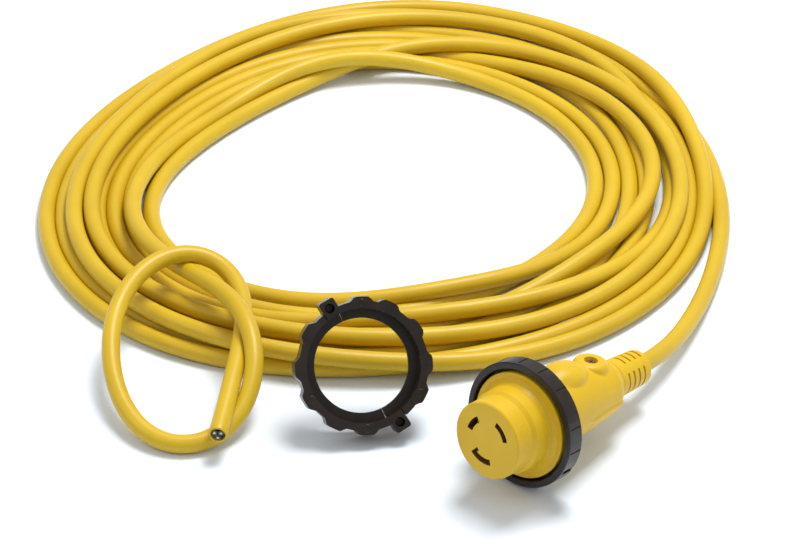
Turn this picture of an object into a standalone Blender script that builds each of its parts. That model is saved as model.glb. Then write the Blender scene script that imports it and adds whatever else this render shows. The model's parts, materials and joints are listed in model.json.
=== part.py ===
"""Shore power cord: coiled cable, socket connector with a locking ring, and a loose two-piece ring.

Units are metres, Z is up, the floor is z = 0 and the viewer looks along +Y.
"""
import math

import bmesh
import bpy
from mathutils import Matrix, Vector

for old in list(bpy.data.objects):
    bpy.data.objects.remove(old, do_unlink=True)

MM = 0.001
GAP = 0.3
CABLE_R = 5.6

# Layout on the floor, in millimetres.
SHIFT = Vector((1.948, 2.259, 0.0))
COIL_CENTRE = Vector((-59.5, 300.5, 0.0))
COIL_TURN = 66.0
COIL_STRETCH = 1.12
NOSE_CENTRE = Vector((4.0, -49.6, 43.2))
CONNECTOR_AXIS = Vector((0.666, 0.732, -0.142)).normalized()
RING_FOOT = Vector((-68.2, 15.5, 0.6))
RING_LEAN = 57.0
RING_YAW = 8.0

parts = bpy.data.collections.new("shore_power_cord")
bpy.context.scene.collection.children.link(parts)
cutters = bpy.data.collections.new("cutters")
bpy.context.scene.collection.children.link(cutters)


def material(name, colour, roughness, metallic=0.0):
    """A plain Principled material."""
    made = bpy.data.materials.new(name)
    made.use_nodes = True
    shader = made.node_tree.nodes["Principled BSDF"]
    shader.inputs["Base Color"].default_value = (*colour, 1.0)
    shader.inputs["Roughness"].default_value = roughness
    shader.inputs["Metallic"].default_value = metallic
    return made


YELLOW = (0.80, 0.55, 0.03)
SHEATH_YELLOW = (0.78, 0.53, 0.03)
BLACK = (0.018, 0.016, 0.015)
BRASS = (0.60, 0.42, 0.14)
STEEL = (0.55, 0.55, 0.56)
COPPER = (0.72, 0.32, 0.16)


def put(name, mesh, look, parent=None, cutter=False):
    """Wrap a mesh in a named object."""
    thing = bpy.data.objects.new(name, mesh)
    if look is not None:
        mesh.materials.append(look)
    (cutters if cutter else parts).objects.link(thing)
    thing.parent = parent
    if cutter:
        thing.hide_render = True
        thing.display_type = "WIRE"
    return thing


def turned(name, profile, look, parent=None, cutter=False, steps=48):
    """A solid of revolution about local Z from a closed (radius, height) outline."""
    shape = bmesh.new()
    corners = [shape.verts.new((r * MM, 0.0, z * MM)) for r, z in profile]
    axis_ends = [v for v in corners if abs(v.co.x) < 1e-9]
    for here, there in zip(corners, corners[1:] + corners[:1]):
        if here in axis_ends and there in axis_ends:
            continue
        shape.edges.new((here, there))
    mesh = bpy.data.meshes.new(name)
    shape.to_mesh(mesh)
    shape.free()
    thing = put(name, mesh, look, parent, cutter)
    spin = thing.modifiers.new("spin", "SCREW")
    spin.axis = "Z"
    spin.angle = 2.0 * math.pi
    spin.screw_offset = 0.0
    spin.steps = steps
    spin.render_steps = steps
    spin.use_merge_vertices = True
    spin.merge_threshold = 0.00001
    spin.use_smooth_shade = True
    return thing


def plate(name, outline, z0, z1, look, parent=None, cutter=False):
    """An outline in local XY, given thickness from z0 to z1."""
    shape = bmesh.new()
    face = shape.faces.new([shape.verts.new((x * MM, y * MM, z0 * MM)) for x, y in outline])
    face.normal_update()
    if face.normal.z < 0.0:
        face.normal_flip()
    mesh = bpy.data.meshes.new(name)
    shape.to_mesh(mesh)
    shape.free()
    thing = put(name, mesh, look, parent, cutter)
    thick = thing.modifiers.new("thick", "SOLIDIFY")
    thick.thickness = (z1 - z0) * MM
    thick.offset = 1.0
    return thing


def block(name, size, centre, parent=None, turn=0.0, look=None, cutter=True):
    """A box, turned about local Z."""
    shape = bmesh.new()
    bmesh.ops.create_cube(shape, size=1.0)
    bmesh.ops.scale(shape, vec=Vector(size) * MM, verts=shape.verts)
    bmesh.ops.translate(shape, vec=Vector(centre) * MM, verts=shape.verts)
    bmesh.ops.rotate(shape, matrix=Matrix.Rotation(turn, 3, "Z"), verts=shape.verts)
    mesh = bpy.data.meshes.new(name)
    shape.to_mesh(mesh)
    shape.free()
    return put(name, mesh, look, parent, cutter)


def ball(name, size, centre, parent):
    """An ellipsoid cutter or adder."""
    shape = bmesh.new()
    bmesh.ops.create_uvsphere(shape, u_segments=28, v_segments=14, radius=1.0)
    bmesh.ops.scale(shape, vec=Vector(size) * MM, verts=shape.verts)
    bmesh.ops.translate(shape, vec=Vector(centre) * MM, verts=shape.verts)
    mesh = bpy.data.meshes.new(name)
    shape.to_mesh(mesh)
    shape.free()
    return put(name, mesh, None, parent, cutter=True)


def combine(thing, other, how):
    """One exact Boolean step."""
    step = thing.modifiers.new(how.lower() + "_" + other.name, "BOOLEAN")
    step.operation = how
    step.solver = "EXACT"
    step.object = other


def arc(radius, start, end, count):
    """Points on a circle, angles in degrees."""
    step = (end - start) / count
    return [(radius * math.cos(math.radians(start + step * i)),
             radius * math.sin(math.radians(start + step * i))) for i in range(count + 1)]


def sector(inner, outer, start, end, count=10):
    """The outline of a ring sector."""
    return arc(outer, start, end, count) + arc(inner, end, start, count)


def local_frame(name, origin, x_axis, y_axis, z_axis):
    """An empty that carries a sub-assembly's own axes."""
    frame = bpy.data.objects.new(name, None)
    parts.objects.link(frame)
    turn = Matrix((x_axis, y_axis, z_axis)).transposed().to_4x4()
    frame.matrix_world = Matrix.Translation(origin * MM) @ turn
    return frame


yellow = material("connector_yellow", YELLOW, 0.42)
sheath = material("sheath_yellow", SHEATH_YELLOW, 0.40)
black = material("ring_black", BLACK, 0.30)
rubber = material("seal_black", (0.02, 0.02, 0.02), 0.8)
insert = material("insert_brown", (0.09, 0.05, 0.03), 0.6)
brass = material("contact_brass", BRASS, 0.3, 1.0)
steel = material("screw_steel", STEEL, 0.3, 1.0)
grip = material("grip_plastic", (0.6, 0.6, 0.58), 0.5)
copper = material("bare_copper", COPPER, 0.35, 1.0)
core_brown = material("core_brown", (0.20, 0.08, 0.03), 0.5)
core_blue = material("core_blue", (0.05, 0.15, 0.5), 0.5)
core_green = material("core_green", (0.05, 0.35, 0.08), 0.5)

# ---------------------------------------------------------------- coil, lead and tail
coil = turned("cable_coil", [
    (205.0, 24.0), (209.0, 19.0), (209.0, 4.0), (206.0, 0.0),
    (150.5, 0.0), (147.5, 4.0), (147.5, 19.0), (151.5, 24.0)], sheath, steps=72)
coil.location = (COIL_CENTRE + SHIFT) * MM
coil.scale = (COIL_STRETCH, 1.0, 1.0)
coil.rotation_euler = (0.0, 0.0, math.radians(COIL_TURN))


def smooth_route(points, count):
    """Even points along a Catmull-Rom curve through the route points."""
    ends = [points[0] * 2.0 - points[1]] + points + [points[-1] * 2.0 - points[-2]]
    fine = []
    for p0, p1, p2, p3 in zip(ends, ends[1:], ends[2:], ends[3:]):
        for i in range(20):
            t = i / 20.0
            fine.append(0.5 * (2.0 * p1 + (p2 - p0) * t + (2.0 * p0 - 5.0 * p1 + 4.0 * p2 - p3) * t * t
                               + (3.0 * p1 - p0 - 3.0 * p2 + p3) * t * t * t))
    fine.append(points[-1])
    lengths = [0.0]
    for here, there in zip(fine, fine[1:]):
        lengths.append(lengths[-1] + (there - here).length)
    even = []
    j = 0
    for k in range(count):
        want = lengths[-1] * k / (count - 1)
        while j < len(fine) - 2 and lengths[j + 1] < want:
            j += 1
        part = (want - lengths[j]) / (lengths[j + 1] - lengths[j])
        even.append(fine[j].lerp(fine[j + 1], part))
    return even


def tube(name, points, radius, look, bevel=2):
    """A round cable along the points, with flat ends."""
    data = bpy.data.curves.new(name, "CURVE")
    data.dimensions = "3D"
    data.bevel_depth = radius * MM
    data.bevel_resolution = bevel
    data.use_fill_caps = True
    data.resolution_u = 1
    line = data.splines.new("POLY")
    line.points.add(len(points) - 1)
    for slot, point in zip(line.points, points):
        slot.co = (*(point * MM), 1.0)
    data.materials.append(look)
    thing = bpy.data.objects.new(name, data)
    parts.objects.link(thing)
    return thing


# Connector axes: local Z runs from the nose face back to the cable, local Y is up.
up = (Vector((0.0, 0.0, 1.0)) - CONNECTOR_AXIS * CONNECTOR_AXIS.z).normalized()
side = up.cross(CONNECTOR_AXIS)
connector = local_frame("connector_frame", NOSE_CENTRE + SHIFT, side, up, CONNECTOR_AXIS)


def behind_nose(z):
    """The point on the connector's axis z behind the nose face."""
    return NOSE_CENTRE + CONNECTOR_AXIS * z


LEAD_ROUTE = [
    (97.8, 53.2, 23.3), (105.0, 62.0, 20.6), (114.5, 78.5, 15.6), (132.5, 120.4, 8.6), (149.5, 166.0, 6.1),
    (159.5, 207.0, 5.9), (165.0, 237.0, 5.9), (167.0, 268.0, 5.9), (166.5, 300.0, 5.9), (164.5, 322.0, 5.9)]
TAIL_ROUTE = [
    (-202.2, 176.4, 30.2), (-193.7, 163.0, 30.2), (-185.6, 154.5, 30.4), (-175.1, 145.0, 31.5),
    (-164.3, 130.4, 34.5), (-153.2, 110.9, 39.0), (-143.4, 89.6, 42.4), (-136.2, 71.6, 42.2),
    (-131.4, 57.2, 38.0), (-130.0, 45.9, 29.0), (-132.4, 37.0, 19.5), (-137.6, 27.6, 11.0),
    (-144.9, 17.3, 6.3), (-154.2, 7.2, 6.0), (-165.1, 0.2, 6.0), (-177.3, 0.0, 6.0), (-189.5, 7.0, 6.3),
    (-200.5, 20.2, 8.2), (-209.5, 36.2, 12.5), (-215.6, 52.7, 19.0), (-218.8, 71.2, 26.5),
    (-218.9, 89.8, 31.5), (-216.1, 108.1, 35.0), (-210.0, 125.1, 38.5), (-201.0, 139.7, 41.8),
    (-190.0, 151.4, 42.5), (-176.7, 157.5, 40.5), (-163.7, 158.2, 36.0), (-152.9, 151.1, 32.0),
    (-145.3, 136.0, 30.4), (-141.3, 118.8, 30.2), (-140.4, 102.5, 30.2), (-140.8, 86.2, 30.2),
    (-141.6, 69.9, 30.2), (-143.0, 53.5, 28.6), (-144.9, 38.5, 24.8), (-146.8, 25.4, 20.6),
    (-148.4, 13.7, 18.1), (-149.8, 1.5, 17.8)]
lead_points = [behind_nose(112.7), behind_nose(126.0)] + [Vector(p) for p in LEAD_ROUTE]
tail_points = [Vector(p) for p in TAIL_ROUTE]
tube("cable_lead", [p + SHIFT for p in smooth_route(lead_points, 24)], CABLE_R, sheath)
tube("cable_tail", [p + SHIFT for p in smooth_route(tail_points, 70)], CABLE_R, sheath)

# Cut end: a short length of sheath with the three cores showing, in its own axes along the tail's last run.
end_from = tail_points[-1]
end_dir = (tail_points[-1] - tail_points[-2]).normalized()
end_side = end_dir.cross(Vector((0.0, 0.0, 1.0))).normalized()
cut_end = local_frame("cut_end_frame", end_from + end_dir * GAP + SHIFT,
                      end_side, end_dir.cross(end_side), end_dir)
turned("cut_end_jacket", [(5.3, 10.0), (5.6, 9.7), (5.6, 0.0), (4.5, 0.0), (4.5, 9.7), (4.7, 10.0)],
       sheath, cut_end, steps=24)
for index, (tag, look) in enumerate((("brown", core_brown), ("blue", core_blue), ("green", core_green))):
    angle = math.radians(90.0 + 120.0 * index)
    spot = Vector((2.25 * math.cos(angle), 2.25 * math.sin(angle), 0.0)) * MM
    core = turned("cut_core_" + tag, [(1.85, 9.6), (1.85, 0.3), (1.15, 0.3), (1.15, 9.6)],
                  look, cut_end, steps=16)
    core.location = spot
    wire = turned("cut_conductor_%d" % (index + 1), [(0.0, 9.8), (0.9, 9.8), (0.9, 0.4), (0.0, 0.4)],
                  copper, cut_end, steps=12)
    wire.location = spot

# ---------------------------------------------------------------- connector nose and contacts
nose = turned("nose_shell", [
    (31.9, 31.7), (31.9, 28.1), (31.4, 27.6), (28.9, 27.6), (26.6, 26.4), (25.4, 23.8), (25.0, 15.2),
    (23.4, 12.8), (23.2, 0.8), (22.4, 0.0), (0.0, 0.0), (0.0, 3.6), (20.6, 3.6), (20.6, 31.7)],
    yellow, connector, steps=60)
SLOTS = [
    ("live", sector(11.2, 15.0, 9.0, 53.0, 8)),
    ("neutral", sector(12.0, 15.2, 110.5, 160.5, 10)),
    ("earth", arc(15.0, -108.5, -48.5, 12) + [(6.3, -6.9), (4.6, -8.6)] + arc(11.4, -57.0, -108.5, 10)),
]
CONTACTS = {
    "live": sector(12.5, 13.7, 14.0, 48.0, 6),
    "neutral": sector(13.1, 14.0, 115.0, 156.0, 8),
    "earth": sector(12.4, 13.6, -104.0, -60.0, 8),
}
carrier = turned("contact_carrier", [(19.8, 31.4), (20.3, 30.9), (20.3, 3.9), (0.0, 3.9), (0.0, 31.4)],
                 insert, connector, steps=40)
for index, (tag, outline) in enumerate(SLOTS):
    slot = plate("slot_" + tag, outline, -1.0, 36.0, None, connector, cutter=True)
    combine(nose, slot, "DIFFERENCE")
    combine(carrier, slot, "DIFFERENCE")
    contact = plate("contact_" + tag, CONTACTS[tag], 6.0, 39.0, brass, connector)
    middle = math.radians({"live": 31.0, "neutral": 135.5, "earth": -82.0}[tag])
    screw = turned("terminal_screw_%d" % (index + 1), [
        (0.0, 17.4), (2.4, 17.4), (2.8, 17.0), (2.8, 14.4), (1.4, 14.4), (1.4, 11.6), (0.0, 11.6)],
        steel, connector, steps=16)
    hole = turned("terminal_hole_%d" % (index + 1), [(0.0, 16.0), (1.7, 16.0), (1.7, 10.0), (0.0, 10.0)],
                  None, connector, cutter=True, steps=16)
    driver = block("terminal_slot_%d" % (index + 1), (6.0, 0.8, 1.6), (0.0, 0.0, 17.3), connector)
    radial = (Matrix.Translation((0.0, 0.0, 35.2 * MM)) @ Matrix.Rotation(middle, 4, "Z")
              @ Matrix.Rotation(math.pi / 2.0, 4, "Y"))
    for thing in (screw, hole, driver):
        thing.matrix_local = radial
    combine(contact, hole, "DIFFERENCE")
    combine(screw, driver, "DIFFERENCE")
    inner_end = Vector((10.0 * math.cos(middle), 10.0 * math.sin(middle), 40.2))
    start = Vector((2.4 * math.cos(middle), 2.4 * math.sin(middle), 81.2))
    run = [start, start + Vector((0.0, 0.0, -6.0)), start.lerp(inner_end, 0.55),
           inner_end + Vector((0.0, 0.0, 6.0)), inner_end]
    look = {"live": core_brown, "neutral": core_blue, "earth": core_green}[tag]
    core = tube("core_" + tag, smooth_route(run, 10), 1.5, look, bevel=1)
    core.parent = connector

# ---------------------------------------------------------------- seal and locking ring
turned("ring_gasket", [(33.2, 34.8), (33.2, 32.2), (26.2, 32.2), (26.2, 34.8)], rubber, connector)
locking = turned("locking_ring", [
    (37.2, 39.2), (38.0, 38.5), (38.0, 28.3), (37.3, 27.6), (34.4, 27.6), (33.8, 28.2), (33.8, 35.1),
    (26.0, 35.1), (26.0, 39.2)], black, connector, steps=72)
for index, angle in enumerate((3.5, 26.0, 57.0, 79.5, 102.0, 124.5, 161.0, 183.5, 228.5, 251.0, 273.5,
                               296.0, 318.5, 341.0)):
    groove = block("grip_groove_%d" % index, (1.6, 0.9, 9.0), (38.2, 0.0, 33.9), connector,
                   math.radians(angle))
    combine(locking, groove, "DIFFERENCE")
notch = block("grip_notch", (3.4, 4.0, 9.6), (38.6, 0.0, 34.2), connector, math.radians(206.0))
combine(locking, notch, "DIFFERENCE")

# ---------------------------------------------------------------- rear housing
housing = turned("rear_housing", [
    (12.3, 111.7), (12.8, 108.4), (17.4, 104.0), (18.9, 100.5), (19.6, 91.0), (21.6, 72.0), (23.6, 50.0),
    (24.6, 32.0), (21.6, 32.0), (17.4, 72.0), (15.5, 84.0), (15.5, 99.0), (13.0, 103.0), (6.1, 104.0),
    (6.1, 111.7)], yellow, connector, steps=48)
dome = ball("dome", (12.5, 8.0, 16.5), (0.0, 18.8, 65.0), connector)
boss = turned("screw_boss", [(0.0, 21.4), (8.4, 21.2), (10.2, 20.0), (11.0, 17.6), (11.0, 16.6), (0.0, 16.6)],
              None, connector, cutter=True, steps=32)
foot = turned("foot_boss", [(0.0, 22.6), (7.2, 22.4), (9.0, 21.0), (10.0, 18.0), (10.0, 16.6), (0.0, 16.6)],
              None, connector, cutter=True, steps=32)
pocket_top = turned("pocket_top", [(0.0, 30.0), (3.8, 30.0), (3.8, 18.0), (1.8, 18.0), (1.8, 13.0),
                                   (0.0, 13.0)], None, connector, cutter=True, steps=24)
pocket_bottom = turned("pocket_bottom", [(0.0, 30.0), (3.8, 30.0), (3.8, 18.0), (1.8, 18.0), (1.8, 13.0),
                                         (0.0, 13.0)], None, connector, cutter=True, steps=24)
pointing_up = Matrix.Translation((0.0, 0.0, 90.5 * MM)) @ Matrix.Rotation(-math.pi / 2.0, 4, "X")
pointing_down = Matrix.Translation((0.0, 0.0, 88.5 * MM)) @ Matrix.Rotation(math.pi / 2.0, 4, "X")
boss.matrix_local = pointing_up
pocket_top.matrix_local = pointing_up
foot.matrix_local = pointing_down
pocket_bottom.matrix_local = pointing_down
cavity = turned("housing_cavity", [
    (5.0, 103.8), (12.9, 102.8), (15.4, 98.8), (15.4, 84.0), (17.3, 72.0), (21.5, 32.5),
    (0.0, 32.5), (0.0, 103.8)], None, connector, cutter=True, steps=48)
combine(housing, dome, "UNION")
combine(housing, boss, "UNION")
combine(housing, foot, "UNION")
combine(housing, cavity, "DIFFERENCE")
combine(housing, pocket_top, "DIFFERENCE")
combine(housing, pocket_bottom, "DIFFERENCE")

# ---------------------------------------------------------------- cord grip inside the housing
turned("cable_entry", [(5.3, 112.4), (5.6, 112.1), (5.6, 81.8), (5.3, 81.5), (0.0, 81.5), (0.0, 112.4)],
       sheath, connector, steps=20)
for tag, span, pose in (("upper", (2.0, 178.0), pointing_up), ("lower", (182.0, 358.0), pointing_down)):
    half = plate("clamp_" + tag, sector(5.9, 13.2, span[0], span[1], 12), 83.0, 97.0, grip, connector)
    blind = turned("clamp_hole_" + tag, [(0.0, 16.0), (1.8, 16.0), (1.8, 7.6), (0.0, 7.6)],
                   None, connector, cutter=True, steps=16)
    blind.matrix_local = pose
    combine(half, blind, "DIFFERENCE")
for tag, pose in (("top", pointing_up), ("bottom", pointing_down)):
    screw = turned("clamp_screw_" + tag, [
        (0.0, 20.3), (2.0, 20.2), (3.0, 19.6), (3.3, 18.9), (3.3, 18.3), (1.5, 18.3), (1.5, 8.2), (0.0, 8.2)],
        steel, connector, steps=20)
    screw.matrix_local = pose
    for index, size in enumerate(((3.6, 0.8, 1.8), (0.8, 3.6, 1.8))):
        cross = block("cross_%s_%d" % (tag, index), size, (0.0, 0.0, 20.0), connector)
        cross.matrix_local = pose
        combine(screw, cross, "DIFFERENCE")

# ---------------------------------------------------------------- strain relief
relief = turned("strain_relief", [
    (9.6, 139.9), (10.7, 139.2), (11.0, 138.0), (12.0, 114.0), (12.0, 112.0), (5.9, 112.0), (5.9, 139.9)],
    yellow, connector, steps=40)
for row, z in enumerate((116.5, 121.6, 126.7, 131.8)):
    reach = 12.0 - (z - 114.0) / 24.0
    for tag, span in (("left", (142.0, 216.0)), ("right", (-36.0, 38.0)), ("top", (68.0, 112.0)),
                      ("bottom", (248.0, 292.0))):
        shift_z = 2.5 if tag in ("top", "bottom") else 0.0
        groove = plate("relief_%s_%d" % (tag, row), sector(reach - 1.1, reach + 2.0, span[0], span[1], 6),
                       z + shift_z, z + shift_z + 1.5, None, connector, cutter=True)
        combine(relief, groove, "DIFFERENCE")

# ---------------------------------------------------------------- loose two-piece ring
RING_THICK = 16.0
RING_OUT = 38.2
RING_LOBE = 40.8
RING_BORE = 28.1
RING_CUP = 33.8
lean = math.radians(RING_LEAN)
ring_up = Vector((0.0, math.cos(lean), math.sin(lean)))
yaw = math.radians(RING_YAW)
ring_flat = Vector((0.0, -math.sin(lean), math.cos(lean)))
ring_out = ring_flat * math.cos(yaw) + Vector((math.sin(yaw), 0.0, 0.0))
ring = local_frame("loose_ring_frame", RING_FOOT + ring_up * RING_LOBE + SHIFT,
                   ring_up.cross(ring_out), ring_up, ring_out)
LOBES = (92.0, 67.0, 36.0, 2.0, -26.0, -87.0, -116.5, -147.5, -177.0, 149.0)
EARS = (121.0, -57.0)


def lobed(angle):
    """The outer radius at an angle: raised pads round the rim."""
    nearest = min(abs((angle - lobe + 180.0) % 360.0 - 180.0) for lobe in LOBES)
    rise = min(1.0, max(0.0, (11.0 - nearest) / 5.5))
    rise = rise * rise * (3.0 - 2.0 * rise)
    return RING_OUT + (RING_LOBE - RING_OUT) * rise


def polar(radius, angle):
    """A point in local XY from a radius and an angle in degrees."""
    return (radius * math.cos(math.radians(angle)), radius * math.sin(math.radians(angle)))


EAR_HALF = 7.6


def ear_corners(angle):
    """The outside of a rounded square ear, in order round the ring."""
    turn = math.radians(angle)
    shape = ((38.2, -4.9), (43.0, -4.9), (44.0, -4.5), (44.4, -3.5), (44.4, 3.5), (44.0, 4.5), (43.0, 4.9),
             (38.2, 4.9))
    return [(a * math.cos(turn) - b * math.sin(turn), a * math.sin(turn) + b * math.cos(turn))
            for a, b in shape]


def half_outline(start, end):
    """Half of the lobed ring with the whole of both ears, seen from the front."""
    first = start + EAR_HALF
    last = end - EAR_HALF
    count = int((last - first) / 2.4)
    outer = ear_corners(start)
    for i in range(count + 1):
        angle = first + (last - first) * i / count
        outer.append(polar(lobed(angle), angle))
    return outer + ear_corners(end) + arc(RING_BORE, end + EAR_HALF, start - EAR_HALF, 32)


cup = turned("ring_cup", [(0.0, 20.0), (RING_CUP, 20.0), (RING_CUP, 3.2), (0.0, 3.2)],
             None, ring, cutter=True, steps=64)
halves = {
    "a": plate("ring_half_a", half_outline(EARS[1], EARS[0]), 0.0, RING_THICK, black, ring),
    "b": plate("ring_half_b", half_outline(EARS[0], EARS[1] + 360.0), 0.0, RING_THICK, black, ring),
}
combine(halves["a"], cup, "DIFFERENCE")
combine(halves["b"], cup, "DIFFERENCE")
# At each ear one half keeps the front layer and the other keeps the back layer.
for index, (ear, front, back) in enumerate(((EARS[0], "a", "b"), (EARS[1], "b", "a"))):
    tag = "ab"[index]
    for owner, z0, z1, before in ((front, -1.0, 8.15, True), (back, 7.85, 17.0, False)):
        if before:
            span = (ear - EAR_HALF - 0.6, ear + EAR_HALF + 4.0)
        else:
            span = (ear - EAR_HALF - 4.0, ear + EAR_HALF + 0.6)
        away = plate("lap_%s_%s" % (owner, tag), sector(20.0, 50.0, span[0], span[1], 8), z0, z1,
                     None, ring, cutter=True)
        combine(halves[owner], away, "DIFFERENCE")
    spot = Vector((*polar(39.3, ear), 0.0)) * MM
    bolt_hole = turned("bolt_hole_" + tag, [
        (0.0, 20.0), (2.9, 20.0), (2.9, 9.6), (1.6, 9.6), (1.6, 3.0), (2.8, 3.0), (2.8, -1.0), (0.0, -1.0)],
        None, ring, cutter=True, steps=20)
    bolt_hole.location = spot
    for owner in "ab":
        combine(halves[owner], bolt_hole, "DIFFERENCE")
    screw = turned("ring_screw_" + tag, [(0.0, 11.6), (2.0, 11.6), (2.5, 11.0), (2.5, 9.9), (1.3, 9.9),
                                         (1.3, 0.6), (0.0, 0.6)], steel, ring, steps=16)
    screw.location = spot
    for number, size in enumerate(((3.0, 0.7, 1.6), (0.7, 3.0, 1.6))):
        cross = block("ring_cross_%s_%d" % (tag, number), size, (0.0, 0.0, 11.4), ring)
        cross.location = spot
        combine(screw, cross, "DIFFERENCE")
    nut = turned("ring_nut_" + tag, [(2.6, 2.7), (2.6, 0.5), (1.6, 0.5), (1.6, 2.7)], steel, ring, steps=6)
    nut.location = spot

bpy.context.view_layer.update()
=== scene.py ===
"""Looks for the shore power cord: the cable, the connector, the loose ring, a floor, lights and a camera."""
import json
import math

import bmesh
import bpy
import numpy as np
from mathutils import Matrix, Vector


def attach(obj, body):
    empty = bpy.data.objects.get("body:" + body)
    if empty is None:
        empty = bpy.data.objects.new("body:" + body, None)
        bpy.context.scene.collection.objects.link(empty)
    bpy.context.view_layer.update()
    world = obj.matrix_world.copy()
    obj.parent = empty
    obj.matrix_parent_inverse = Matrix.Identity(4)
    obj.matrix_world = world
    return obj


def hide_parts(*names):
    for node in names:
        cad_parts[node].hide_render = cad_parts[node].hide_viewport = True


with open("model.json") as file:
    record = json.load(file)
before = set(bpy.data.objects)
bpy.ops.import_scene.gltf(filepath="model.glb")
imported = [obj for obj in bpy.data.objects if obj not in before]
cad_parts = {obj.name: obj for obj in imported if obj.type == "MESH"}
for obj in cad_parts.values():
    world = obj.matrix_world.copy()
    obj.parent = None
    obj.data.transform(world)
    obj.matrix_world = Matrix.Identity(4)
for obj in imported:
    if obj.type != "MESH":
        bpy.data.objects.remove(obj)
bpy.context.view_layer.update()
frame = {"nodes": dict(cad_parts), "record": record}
MM = 0.001

# ---------------------------------------------------------------- layout, the same as the solids'
SHIFT = np.array([1.948, 2.259, 0.0])
CABLE_D = 11.2
NOSE_CENTRE = np.array([4.0, -49.6, 43.2]) + SHIFT
AXIS = np.array([0.666, 0.732, -0.142])
AXIS = AXIS / np.linalg.norm(AXIS)
UP = np.array([0.0, 0.0, 1.0]) - AXIS * AXIS[2]
UP = UP / np.linalg.norm(UP)
SIDE = np.cross(UP, AXIS)


def add_object(name, data):
    """A new object in the scene."""
    thing = bpy.data.objects.new(name, data)
    bpy.context.scene.collection.objects.link(thing)
    return thing


# ---------------------------------------------------------------- camera
camera_data = bpy.data.cameras.new("camera")
camera = add_object("camera", camera_data)
camera_data.sensor_width = 36.0
camera_data.lens = 133.65
camera_data.clip_end = 20.0
AIM = Vector((-0.04305, 0.18926, 0.0))
ELEVATION = math.radians(33.0)
DISTANCE = 1.90
camera.location = AIM + DISTANCE * Vector((0.0, -math.cos(ELEVATION), math.sin(ELEVATION)))
camera.rotation_euler = (math.pi / 2.0 - ELEVATION, 0.0, 0.0)
bpy.context.scene.camera = camera


# ---------------------------------------------------------------- cable: the coil's turns
def catmull(points, per_span=20):
    """A dense smooth curve through the points."""
    p = np.array(points, float)
    p = np.vstack([2.0 * p[0] - p[1], p, 2.0 * p[-1] - p[-2]])
    t = np.linspace(0.0, 1.0, per_span, endpoint=False)[:, None]
    out = []
    for a, b, c, d in zip(p, p[1:], p[2:], p[3:]):
        out.append(0.5 * (2.0 * b + (c - a) * t + (2.0 * a - 5.0 * b + 4.0 * c - d) * t ** 2
                          + (3.0 * b - a - 3.0 * c + d) * t ** 3))
    return np.vstack(out + [p[-2:-1]])


def resample(points, step):
    """Points an even distance apart along a polyline."""
    seg = np.linalg.norm(np.diff(points, axis=0), axis=1)
    along = np.concatenate([[0.0], np.cumsum(seg)])
    count = max(2, int(round(along[-1] / step)) + 1)
    want = np.linspace(0.0, along[-1], count)
    return np.stack([np.interp(want, along, points[:, k]) for k in range(3)], axis=1)


LOW, MID, HIGH = 5.7, 15.4, 25.0
COIL_CENTRE = np.array([-60.0, 302.0]) + SHIFT[:2]
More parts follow.
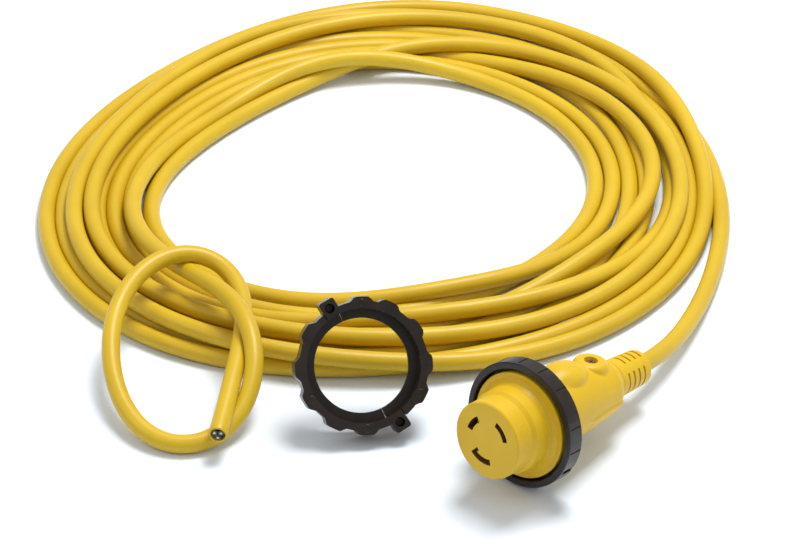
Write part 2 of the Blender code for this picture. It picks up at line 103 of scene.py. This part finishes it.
# Each turn: angle round the coil, distance from its middle, and how high it lies.
TURNS = [
    {6: (222, LOW), 30: (217, LOW), 45: (223, LOW), 60: (231, LOW), 75: (237, LOW), 90: (232, LOW),
     105: (213, 12), 120: (194, MID), 135: (184, MID), 150: (181, MID), 165: (184, MID), 180: (192, MID),
     210: (218, MID), 225: (228, MID), 240: (231, MID), 255: (227, MID), 270: (222, MID), 285: (229, 12),
     300: (231, LOW), 315: (233, LOW), 330: (226, LOW), 345: (216, 12)},
    {0: (213, MID), 15: (215, MID), 30: (221, MID), 45: (234, 12), 60: (246, LOW), 75: (252, LOW),
     90: (246, LOW), 105: (230, LOW), 120: (212, LOW), 135: (201, LOW), 150: (198, LOW), 165: (204, LOW),
     180: (214, LOW), 195: (223, LOW), 210: (232, LOW), 225: (240, LOW), 240: (240, LOW), 255: (231, LOW),
     270: (223, LOW), 285: (220, LOW), 300: (219, LOW), 315: (219, LOW), 330: (213, LOW)},
    {0: (207, LOW), 30: (204, LOW), 60: (205, LOW), 90: (207, LOW), 120: (200, LOW), 150: (187, LOW),
     180: (203, LOW), 210: (221, LOW), 225: (229, LOW), 240: (228, LOW), 255: (219, LOW), 270: (211, LOW),
     300: (202, LOW), 330: (188, LOW)},
    {0: (176, LOW), 30: (186, LOW), 60: (192, LOW), 90: (194, LOW), 120: (189, LOW), 150: (176, LOW),
     180: (192, LOW), 210: (210, LOW), 240: (216, LOW), 270: (199, LOW), 300: (188, LOW), 330: (174, LOW)},
    {0: (165, LOW), 30: (173, LOW), 60: (181, LOW), 90: (183, LOW), 120: (178, LOW), 150: (165, LOW),
     180: (181, LOW), 210: (199, LOW), 240: (204, LOW), 270: (187, LOW), 285: (181, LOW), 300: (176, MID),
     330: (180, HIGH)},
    {0: (186, MID), 15: (184, MID), 30: (179, MID), 45: (173, 12), 60: (170, LOW), 90: (172, LOW),
     120: (167, 8), 150: (159, MID), 165: (163, MID), 180: (172, 12), 195: (181, LOW), 210: (189, LOW),
     240: (192, LOW), 270: (177, MID), 285: (186, MID), 300: (195, MID), 330: (198, MID)},
    {0: (198, LOW), 15: (202, 10), 30: (206, MID), 45: (213, MID), 60: (218, MID), 75: (216, 20),
     90: (205, MID), 120: (180, MID), 150: (170, MID), 180: (180, MID), 210: (206, MID), 240: (210, MID),
     270: (205, MID), 300: (212, MID), 330: (209, MID)},
    {0: (201, MID), 30: (197, MID), 45: (196, MID), 60: (188, MID), 75: (171, MID), 90: (157, 12),
     105: (141, LOW), 120: (129, LOW), 135: (125, LOW), 150: (127, LOW), 165: (135, LOW), 180: (147, LOW),
     195: (158, LOW), 210: (164, LOW), 225: (166, LOW), 240: (163, LOW), 255: (158, 8), 270: (157, MID),
     285: (158, MID), 300: (159, MID), 330: (157, MID)},
    {0: (155, MID), 15: (158, MID), 30: (162, MID), 45: (157, 10), 60: (158, LOW), 90: (161, LOW),
     120: (156, LOW), 150: (152, LOW), 180: (163, LOW), 210: (175, LOW), 225: (180, LOW), 240: (181, LOW),
     255: (178, LOW), 270: (168, LOW), 285: (158, LOW), 300: (152, LOW), 330: (150, LOW)},
    {0: (148, LOW), 15: (144, LOW), 30: (144, LOW), 60: (148, MID), 75: (151, 20), 90: (151, 24),
     105: (147, 20), 120: (138, 13), 135: (132, 12), 150: (133, 12), 165: (141, 13), 180: (153, 16),
     195: (170, 21), 205: (178, 23)},
]
PER_TURN = 180
FIRST = 6.0
LAST = 9 * 360.0 + 205.0
FAR_OFF = 1.0e4


def smoothed(values, half):
    """A moving average that keeps the ends."""
    kernel = np.hanning(2 * half + 3)[1:-1]
    kernel = kernel / kernel.sum()
    left = 2.0 * values[0] - values[half:0:-1]
    right = 2.0 * values[-1] - values[-2:-half - 2:-1]
    return np.convolve(np.concatenate([left, values, right]), kernel, "valid")


def stiffen(line, stride, amount):
    """Take out bends shorter than a few strides."""
    p = np.concatenate([line[0] + (line[0] - line[1]) * np.arange(2 * stride, 0, -1), line,
                        line[-1] + (line[-1] - line[-2]) * np.arange(1, 2 * stride + 1)])
    n = len(line)
    a, b, c, d, e = (p[k * stride:k * stride + n] for k in range(5))
    line -= amount * (a - 4.0 * b + 6.0 * c - 4.0 * d + e)


def settle_coil(rounds):
    """Let the turns sink, push each other aside and stay smooth."""
    known = np.array([(360.0 * k + a, r, z)
                      for k, turn in enumerate(TURNS) for a, (r, z) in sorted(turn.items())])
    first = int(round(FIRST * PER_TURN / 360.0))
    last = int(LAST * PER_TURN / 360.0)
    angle = np.arange(first, last + 1) * 360.0 / PER_TURN
    aim = smoothed(np.interp(angle, known[:, 0], known[:, 1]), 9)
    reach = aim.copy()
    height = smoothed(np.interp(angle, known[:, 0], known[:, 2]), 9)
    turns = len(TURNS)
    grid_r = np.full(turns * PER_TURN, FAR_OFF)
    grid_z = np.full(turns * PER_TURN, FAR_OFF)
    used = slice(first, last + 1)
    for step in range(rounds):
        for line in (reach, height):
            stiffen(line, 1, 0.05)
            stiffen(line, 3, 0.05)
            stiffen(line, 5, 0.03)
        reach += 0.01 * (aim - reach)
        height -= 0.04
        grid_r[used] = reach
        grid_z[used] = height
        r = grid_r.reshape(turns, PER_TURN)
        z = grid_z.reshape(turns, PER_TURN)
        for _ in range(2):
            push_r = np.zeros_like(r)
            push_z = np.zeros_like(z)
            for s in range(1, turns):
                dr = r[s:] - r[:-s]
                dz = z[s:] - z[:-s]
                apart = np.sqrt(dr * dr + dz * dz) + 1.0e-9
                overlap = np.clip(CABLE_D - apart, 0.0, None) * 0.28
                push_r[s:] += dr / apart * overlap
                push_r[:-s] -= dr / apart * overlap
                push_z[s:] += dz / apart * overlap
                push_z[:-s] -= dz / apart * overlap
            r += push_r
            z += push_z
            np.maximum(z, CABLE_D / 2.0, out=z)
        reach = grid_r[used].copy()
        height = grid_z[used].copy()
    turn = np.radians(angle)
    return np.stack([COIL_CENTRE[0] + reach * np.cos(turn), COIL_CENTRE[1] + reach * np.sin(turn), height],
                    axis=1)


def behind_nose(z):
    """The point on the connector's axis z behind the nose face."""
    return NOSE_CENTRE + AXIS * z


# The cable from the strain relief to the coil, and from the coil round the end loop to the cut.
LEAD = [(105.0, 62.0, 20.6), (114.5, 78.5, 15.6), (132.5, 120.4, 8.6), (149.5, 166.0, 6.1),
        (159.5, 207.0, 5.9), (165.0, 237.0, 5.9), (167.0, 268.0, 5.9)]
TAIL = [(-202.2, 176.4, 30.2), (-193.7, 163.0, 30.2), (-185.6, 154.5, 30.4), (-175.1, 145.0, 31.5),
        (-164.3, 130.4, 34.5), (-153.2, 110.9, 39.0), (-143.4, 89.6, 42.4), (-136.2, 71.6, 42.2),
        (-131.4, 57.2, 38.0), (-130.0, 45.9, 29.0), (-132.0, 36.0, 19.5), (-137.0, 24.0, 11.0),
        (-145.0, 11.5, 6.8), (-155.5, 0.0, 6.0), (-167.1, -8.0, 6.0), (-179.3, -8.5, 6.0),
        (-191.5, -0.5, 6.3), (-202.0, 14.7, 8.2), (-210.5, 33.2, 12.5), (-215.6, 52.7, 19.0),
        (-218.8, 71.2, 26.5), (-218.9, 89.8, 31.5), (-216.1, 108.1, 35.0), (-210.0, 125.1, 38.5),
        (-201.0, 136.5, 43.5), (-190.0, 146.5, 45.5), (-176.7, 152.5, 44.0), (-163.7, 155.0, 38.5),
        (-152.9, 151.1, 32.0), (-145.3, 136.0, 30.4), (-141.3, 118.8, 30.2), (-140.4, 102.5, 30.2),
        (-140.8, 86.2, 30.2), (-141.6, 69.9, 30.2), (-143.0, 53.5, 28.6), (-144.9, 38.5, 24.8),
        (-146.8, 25.4, 20.6), (-148.4, 13.7, 18.1), (-149.8, 1.5, 17.8)]
LAST_BIT = 10.3
SPACING = 5.0
HELD_POINTS = 8
EASE_ROUNDS = 200
PUSH_ROUNDS = 190
PULL = 0.018
NEIGHBOURS = 12

coil_line = settle_coil(2500)
lead_line = np.vstack([behind_nose(112.7), behind_nose(126.0), behind_nose(139.0),
                       np.array(LEAD) + SHIFT])
tail_line = np.array(TAIL) + SHIFT
end_step = tail_line[-1] - tail_line[-2]
end_dir = end_step / np.linalg.norm(end_step)
cut_face = tail_line[-1] + end_dir * LAST_BIT
route = np.vstack([lead_line, coil_line[1::3], tail_line, cut_face])
centreline = resample(catmull(route, 8), SPACING)
wanted = centreline.copy()

# The line relaxes towards even bends. Both ends are held, and the loose tail is kept off its neighbours.
hold = np.ones(len(centreline))
hold[:HELD_POINTS] = np.linspace(0.0, 1.0, HELD_POINTS) ** 2
hold[-HELD_POINTS:] = np.linspace(1.0, 0.0, HELD_POINTS) ** 2
loose = np.arange(len(centreline) - 215, len(centreline) - 9)
beside = np.abs(loose[:, None] - np.arange(len(centreline))[None]) <= NEIGHBOURS
for step in range(EASE_ROUNDS):
    eased = centreline + PULL * (wanted - centreline)
    for column in eased.T:
        for stride in (1, 2, 4):
            stiffen(column, stride, 0.05)
    centreline += (eased - centreline) * hold[:, None]
    if step % 4 == 3 and step < PUSH_ROUNDS:
        apart = centreline[loose, None] - centreline[None]
        gap = np.where(beside, FAR_OFF, np.linalg.norm(apart, axis=2) + 1.0e-6)
        nearest = gap.argmin(axis=1)
        row = np.arange(len(loose))
        short = np.clip(CABLE_D + 0.5 - gap[row, nearest], 0.0, None)
        centreline[loose] += apart[row, nearest] / gap[row, nearest, None] * short[:, None] * 0.6
    np.maximum(centreline[:, 2], CABLE_D / 2.0 + 0.05, out=centreline[:, 2])


def frames_along(points):
    """Tangents and a twist-free pair of normals."""
    tangent = np.gradient(points, axis=0)
    tangent /= np.linalg.norm(tangent, axis=1)[:, None]
    normal = np.zeros_like(points)
    n = np.cross(tangent[0], [0.0, 0.0, 1.0])
    for i, t in enumerate(tangent):
        n = n - t * np.dot(n, t)
        n = n / np.linalg.norm(n)
        normal[i] = n
    return tangent, normal, np.cross(tangent, normal)


def add_mesh(name, points, faces):
    """A new object from points in millimetres and faces, its normals pointing out."""
    mesh = bpy.data.meshes.new(name)
    mesh.from_pydata((points * MM).tolist(), [], faces)
    shape = bmesh.new()
    shape.from_mesh(mesh)
    bmesh.ops.recalc_face_normals(shape, faces=shape.faces)
    shape.to_mesh(mesh)
    shape.free()
    return add_object(name, mesh)


def ring_faces(rows, cols, ring_pairs):
    """The four-sided faces that join each ring of a grid to the next."""
    return [(i * cols + j, i * cols + (j + 1) % cols,
             (i + 1) % rows * cols + (j + 1) % cols, (i + 1) % rows * cols + j)
            for i in range(ring_pairs) for j in range(cols)]


def tube(name, rings):
    """A surface through closed rings of points, with a flat cap on the first and the last."""
    rows, cols = rings.shape[:2]
    faces = ring_faces(rows, cols, rows - 1)
    faces.append(tuple(range(cols))[::-1])
    faces.append(tuple((rows - 1) * cols + j for j in range(cols)))
    return add_mesh(name, rings.reshape(-1, 3), faces)


def shade_smooth(thing):
    """Smooth shading on every face."""
    for face in thing.data.polygons:
        face.use_smooth = True


def smooth(thing, degrees):
    """Smooth shading with crisp corners."""
    shade_smooth(thing)
    thing.data.set_sharp_from_angle(angle=math.radians(degrees))


def cable_mesh():
    """The sheath, end to end, with the cut end hollowed for the cores."""
    tangent, normal, binormal = frames_along(centreline)
    turn = np.linspace(0.0, 2.0 * math.pi, 20, endpoint=False)
    circle = np.stack([np.cos(turn), np.sin(turn)], axis=1)

    def ring(i, radius, back=0.0):
        return (centreline[i] - tangent[i] * back
                + radius * (circle[:, :1] * normal[i] + circle[:, 1:] * binormal[i]))

    radius = CABLE_D / 2.0
    bore = 4.5
    rings = [ring(0, radius - 0.3, 0.3)]
    rings += [ring(i, radius) for i in range(len(centreline) - 1)]
    rings += [ring(-1, radius, 0.35), ring(-1, radius - 0.12, 0.1), ring(-1, radius - 0.4),
              ring(-1, bore + 0.1), ring(-1, bore, 0.15), ring(-1, bore, 9.0)]
    return tube("cable", np.array(rings))


cable = cable_mesh()
smooth(cable, 50.0)
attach(cable, "cord_set")
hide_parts("cable_lead", "cable_coil", "cable_tail", "cut_end_jacket")


# ---------------------------------------------------------------- connector's rear housing
def connector_points(radius, angle, z):
    """Points at a radius and angle round the connector's axis."""
    return (NOSE_CENTRE + SIDE * (radius * np.cos(angle))[..., None]
            + UP * (radius * np.sin(angle))[..., None] + AXIS * z[..., None])


def soft_max(a, b, blend):
    """The larger of two values with a rounded corner where they meet."""
    gap = np.clip(0.5 + 0.5 * (a - b) / blend, 0.0, 1.0)
    return b + (a - b) * gap + blend * gap * (1.0 - gap)


BOSS_AT = 90.5
FOOT_FORWARD = 2.0
POCKET_RADIUS = 3.9
POCKET_FLOOR = 18.0


def raised_boss(radius, angle, z, facing, profile):
    """Add a round boss with a screw pocket, pointing at an angle."""
    reach = np.arange(14.0, 27.0, 0.1)[:, None, None]
    across = reach * np.sin(angle - facing)
    along = reach * np.cos(angle - facing)
    away = np.hypot(across, z - BOSS_AT)
    height = np.interp(away, *zip(*profile))
    height = np.where(away < POCKET_RADIUS, POCKET_FLOOR, height)
    boss = (reach * ((along <= height) & (along > 12.0))).max(axis=0)
    in_pocket = np.hypot(radius * np.sin(angle - facing), z - BOSS_AT) < POCKET_RADIUS
    facing_it = np.cos(angle - facing) > 0.7
    return np.where(in_pocket & facing_it, boss, np.maximum(radius, boss))


def dome_radius(angle, z):
    """How far from the axis the egg-shaped swelling on top reaches, or 0 beside it."""
    middle = 18.8
    half_width, half_height, half_length = 12.5, 8.0, 16.5
    a = (np.cos(angle) / half_width) ** 2 + (np.sin(angle) / half_height) ** 2
    b = -2.0 * np.sin(angle) * middle / half_height ** 2
    c = (middle / half_height) ** 2 + ((z - 65.0) / half_length) ** 2 - 1.0
    under = b * b - 4.0 * a * c
    return np.where(under > 0.0, (-b + np.sqrt(np.clip(under, 0.0, None))) / (2.0 * a), 0.0)


# Profiles of the housing, as (z behind the nose face, radius), and of its two bosses, as (distance from
# the boss's middle, height over the axis).
OUTSIDE = [(32.0, 24.6), (50.0, 23.6), (72.0, 21.6), (91.0, 19.6), (100.5, 18.9), (102.8, 18.2),
           (104.6, 16.6), (106.6, 14.4), (108.4, 12.9), (109.6, 12.5), (111.7, 12.3)]
INSIDE = [(111.7, 6.1), (104.0, 6.1), (103.0, 13.0), (99.0, 15.5), (84.0, 15.5), (72.0, 17.4), (32.0, 21.6)]
TOP_BOSS = [(0.0, 21.4), (7.6, 21.4), (8.8, 21.0), (9.8, 20.2), (10.5, 19.0), (11.2, 17.0), (12.2, 14.0),
            (12.4, 0.0)]
FOOT_BOSS = [(0.0, 22.6), (6.6, 22.6), (8.0, 22.0), (9.0, 21.0), (9.8, 19.0), (10.5, 17.0), (11.5, 14.0),
             (11.7, 0.0)]


def housing_mesh():
    """The two clamped halves as one skin, with the dome, both screw bosses and the parting ridges."""
    z = np.concatenate([[32.0, 32.15, 32.4], np.arange(32.8, 111.3, 0.45), [111.45, 111.7]])
    base = smoothed(np.interp(z, *zip(*OUTSIDE)), 3)
    base[0] -= 0.5
    base[1] -= 0.2
    base[-1] -= 0.4
    base[-2] -= 0.1
    angle = np.linspace(0.0, 2.0 * math.pi, 288, endpoint=False)
    z_all, angle_all = np.meshgrid(z, angle, indexing="ij")
    radius = np.repeat(base[:, None], len(angle), axis=1)
    radius = soft_max(radius, dome_radius(angle_all, z_all), 2.2)
    radius = raised_boss(radius, angle_all, z_all, math.pi / 2.0, TOP_BOSS)
    radius = raised_boss(radius, angle_all, z_all + FOOT_FORWARD, -math.pi / 2.0, FOOT_BOSS)
    for ridge in (188.0, 352.0):
        turn = (np.degrees(angle_all) - ridge + 180.0) % 360.0 - 180.0
        span = np.clip((z_all - 70.0) / 3.0, 0.0, 1.0) * np.clip((104.0 - z_all) / 2.0, 0.0, 1.0)
        radius = radius + 0.9 * np.exp(-(turn / 2.2) ** 4) * span
    inner = [connector_points(np.full(len(angle), r), angle, np.full(len(angle), at)) for at, r in INSIDE]
    rings = np.concatenate([connector_points(radius, angle_all, z_all), np.array(inner)])
    rows, cols = rings.shape[:2]
    return add_mesh("housing_skin", rings.reshape(-1, 3), ring_faces(rows, cols, rows))


housing = housing_mesh()
smooth(housing, 42.0)
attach(housing, "cord_set")
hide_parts("rear_housing")

# ---------------------------------------------------------------- softened edges of the solids, in mm
SOFT_EDGES = {"nose_shell": 0.35, "locking_ring": 0.3, "strain_relief": 0.35, "ring_half_a": 0.45,
              "ring_half_b": 0.45, "ring_gasket": 0.2, "clamp_screw_top": 0.15, "clamp_screw_bottom": 0.15}
for name, width in SOFT_EDGES.items():
    node = frame["nodes"][name]
    shade_smooth(node)
    edge = node.modifiers.new("edges", "BEVEL")
    edge.width = width * MM
    edge.segments = 2
    edge.limit_method = "ANGLE"
    edge.angle_limit = math.radians(32.0)
    flat = node.modifiers.new("flat", "WEIGHTED_NORMAL")
    flat.weight = 90

# ---------------------------------------------------------------- marks on the loose ring
RING_RISE = math.radians(57.0)
RING_YAW = math.radians(8.0)
RING_FOOT = np.array([-68.2, 15.5, 0.6])
RING_LOBE = 40.8
PAD_CIRCLE = 36.9
PAD_PROFILE = ((2.5, 15.8), (2.5, 16.2), (2.25, 16.4), (1.7, 16.4), (1.6, 16.25))
RING_UP = np.array([0.0, math.cos(RING_RISE), math.sin(RING_RISE)])
RING_OUT = (np.array([0.0, -math.sin(RING_RISE), math.cos(RING_RISE)]) * math.cos(RING_YAW)
            + np.array([math.sin(RING_YAW), 0.0, 0.0]))
RING_SIDE = np.cross(RING_UP, RING_OUT)
RING_CENTRE = RING_FOOT + RING_UP * RING_LOBE + SHIFT


def ring_pad(name, angle):
    """A low round moulding mark on the ring's front face."""
    turn = np.linspace(0.0, 2.0 * math.pi, 28, endpoint=False)[:, None]
    spot = RING_CENTRE + PAD_CIRCLE * (math.cos(angle) * RING_SIDE + math.sin(angle) * RING_UP)
    rings = [spot + RING_OUT * h + r * (np.cos(turn) * RING_SIDE + np.sin(turn) * RING_UP)
             for r, h in PAD_PROFILE]
    pad = tube(name, np.array(rings))
    smooth(pad, 40.0)
    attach(pad, "loose_ring")
    return pad


ring_pads = [ring_pad("ring_pad_%d" % k, math.radians(a)) for k, a in enumerate((92.0, -26.0, -87.0, -147.5))]


# ---------------------------------------------------------------- materials
def plain(name, colour, roughness, metallic=0.0):
    """A new material of one colour."""
    made = bpy.data.materials.new(name)
    made.use_nodes = True
    bsdf = made.node_tree.nodes["Principled BSDF"]
    bsdf.inputs["Base Color"].default_value = (*colour, 1.0)
    bsdf.inputs["Roughness"].default_value = roughness
    bsdf.inputs["Metallic"].default_value = metallic
    return made


def noise(tree, scale, detail=3.0):
    """A noise texture in the object's own coordinates."""
    coords = tree.nodes.new("ShaderNodeTexCoord")
    tex = tree.nodes.new("ShaderNodeTexNoise")
    tex.inputs["Scale"].default_value = scale
    tex.inputs["Detail"].default_value = detail
    tex.inputs["Roughness"].default_value = 0.55
    tree.links.new(coords.outputs["Object"], tex.inputs["Vector"])
    return tex.outputs["Fac"]


def ramp(tree, source, low, high):
    """Blend two colours by a 0 to 1 value."""
    node = tree.nodes.new("ShaderNodeValToRGB")
    node.color_ramp.elements[0].position = 0.3
    node.color_ramp.elements[0].color = (*low, 1.0)
    node.color_ramp.elements[1].position = 0.7
    node.color_ramp.elements[1].color = (*high, 1.0)
    tree.links.new(source, node.inputs["Fac"])
    return node.outputs["Color"]


def bump(tree, bsdf, source, strength, distance):
    """Fine relief from a 0 to 1 value."""
    node = tree.nodes.new("ShaderNodeBump")
    node.inputs["Strength"].default_value = strength
    node.inputs["Distance"].default_value = distance
    tree.links.new(source, node.inputs["Height"])
    tree.links.new(node.outputs["Normal"], bsdf.inputs["Normal"])


def mottled(name, low, high, rough_low, rough_high, scale, grain, strength, distance, metallic=0.0,
            shine=0.5):
    """Colour and roughness that wander a little, over a fine grain."""
    made = plain(name, low, rough_low, metallic)
    tree = made.node_tree
    bsdf = tree.nodes["Principled BSDF"]
    tree.links.new(ramp(tree, noise(tree, scale), low, high), bsdf.inputs["Base Color"])
    rough = ramp(tree, noise(tree, scale * 3.0), (rough_low,) * 3, (rough_high,) * 3)
    tree.links.new(rough, bsdf.inputs["Roughness"])
    bump(tree, bsdf, noise(tree, grain, 2.0), strength, distance)
    bsdf.inputs["Specular IOR Level"].default_value = shine
    return made


sheath_look = mottled("cable_sheath", (0.54, 0.350, 0.010), (0.62, 0.415, 0.016), 0.34, 0.44,
                      14.0, 2200.0, 0.10, 0.0002, shine=0.34)
yellow_look = mottled("moulded_yellow", (0.62, 0.385, 0.008), (0.68, 0.435, 0.014), 0.34, 0.44,
                      30.0, 1500.0, 0.10, 0.0002, shine=0.30)
black_look = mottled("moulded_black", (0.011, 0.007, 0.0045), (0.022, 0.014, 0.010), 0.26, 0.38,
                     60.0, 900.0, 0.15, 0.0003, shine=0.36)
rubber_look = mottled("seal_rubber", (0.014, 0.014, 0.014), (0.022, 0.022, 0.022), 0.7, 0.85,
                      50.0, 800.0, 0.2, 0.0003)
# Dark brown: the contact carrier's own colour, and also painted shade on the yellow nose shell's slot walls.
brown_and_slot_shade_look = mottled("carrier_brown_and_slot_shade", (0.13, 0.052, 0.010), (0.19, 0.085, 0.018), 0.5, 0.65,
                    50.0, 800.0, 0.1, 0.0002)
insert_look = mottled("insert_brown", (0.05, 0.03, 0.02), (0.08, 0.05, 0.03), 0.5, 0.65,
                      50.0, 800.0, 0.1, 0.0002)
brass_look = mottled("contact_brass", (0.55, 0.38, 0.12), (0.65, 0.47, 0.18), 0.25, 0.4,
                     80.0, 900.0, 0.1, 0.0002, 1.0)
steel_look = mottled("screw_steel", (0.30, 0.16, 0.12), (0.42, 0.27, 0.22), 0.3, 0.5,
                     300.0, 2000.0, 0.2, 0.0002, 1.0)
dark_steel_look = mottled("dark_screw", (0.03, 0.028, 0.027), (0.05, 0.045, 0.04), 0.35, 0.5,
                          200.0, 1500.0, 0.2, 0.0002, 1.0)
grip_look = mottled("grip_plastic", (0.52, 0.52, 0.50), (0.60, 0.60, 0.57), 0.45, 0.6,
                    60.0, 900.0, 0.1, 0.0002)
copper_look = mottled("copper_strands", (0.34, 0.29, 0.26), (0.62, 0.56, 0.52), 0.25, 0.45,
                      900.0, 3000.0, 0.6, 0.0004, 1.0)
brown_look = mottled("core_brown", (0.050, 0.030, 0.022), (0.075, 0.045, 0.032), 0.4, 0.55,
                     60.0, 900.0, 0.1, 0.0002)
blue_look = mottled("core_blue", (0.030, 0.040, 0.065), (0.045, 0.058, 0.090), 0.4, 0.55,
                    60.0, 900.0, 0.1, 0.0002)
green_look = mottled("core_green", (0.028, 0.045, 0.028), (0.060, 0.070, 0.035), 0.4, 0.55,
                     120.0, 900.0, 0.1, 0.0002)
BY_SLOT = {
    "sheath_yellow": sheath_look, "connector_yellow": yellow_look, "ring_black": black_look,
    "seal_black": rubber_look, "insert_brown": insert_look, "contact_brass": brass_look,
    "screw_steel": steel_look, "grip_plastic": grip_look, "bare_copper": copper_look,
    "core_brown": brown_look, "core_blue": blue_look, "core_green": green_look}
slot_of = {row["node"]: row["material_slot"] for row in frame["record"]["subparts"]}
for name, node in frame["nodes"].items():
    node.data.materials.clear()
    node.data.materials.append(BY_SLOT[slot_of[name]])
# The yellow nose shell's slot walls, 0.3 to 3.5 mm behind its face, get the dark brown as painted shade in
# the slots.
nose_node = frame["nodes"]["nose_shell"]
nose_node.data.materials.append(brown_and_slot_shade_look)
for face in nose_node.data.polygons:
    middle = np.array(nose_node.matrix_world @ face.center) / MM - NOSE_CENTRE
    depth = middle @ AXIS
    if 0.3 < depth < 3.5 and np.linalg.norm(middle - AXIS * depth) < 17.0:
        face.material_index = 1
for name in ("ring_screw_a", "ring_screw_b"):
    frame["nodes"][name].data.materials[0] = dark_steel_look
frame["nodes"]["contact_carrier"].data.materials[0] = brown_and_slot_shade_look
cable.data.materials.append(sheath_look)
housing.data.materials.append(yellow_look)
for pad in ring_pads:
    pad.data.materials.append(black_look)

# ---------------------------------------------------------------- floor and light
floor_mesh = bpy.data.meshes.new("floor")
floor_mesh.from_pydata([(-6, -5, 0), (6, -5, 0), (6, 9, 0), (-6, 9, 0)], [], [(0, 1, 2, 3)])
floor = add_object("floor", floor_mesh)
floor.location.z = -0.0002
floor_mesh.materials.append(plain("floor", (0.80, 0.865, 0.95), 0.6))

world = bpy.data.worlds.new("studio")
bpy.context.scene.world = world
world.use_nodes = True
world.node_tree.nodes["Background"].inputs["Color"].default_value = (1.0, 1.0, 1.0, 1.0)
world.node_tree.nodes["Background"].inputs["Strength"].default_value = 0.56


def softbox(name, place, look_at, size, power):
    """A large square light."""
    lamp = bpy.data.lights.new(name, "AREA")
    lamp.shape = "SQUARE"
    lamp.size = size
    lamp.energy = power
    thing = add_object(name, lamp)
    thing.location = place
    thing.rotation_euler = (Vector(look_at) - Vector(place)).to_track_quat("-Z", "Y").to_euler()


softbox("overhead", (0.28, 0.60, 1.7), (-0.05, 0.15, 0.0), 0.7, 31.0)
softbox("left", (-1.6, -0.3, 1.3), (-0.05, 0.2, 0.0), 1.0, 4.5)
softbox("right", (1.5, -0.2, 1.2), (0.0, 0.1, 0.0), 0.8, 3.5)
scene = bpy.context.scene
scene.view_settings.view_transform = "Standard"
scene.view_settings.look = "None"
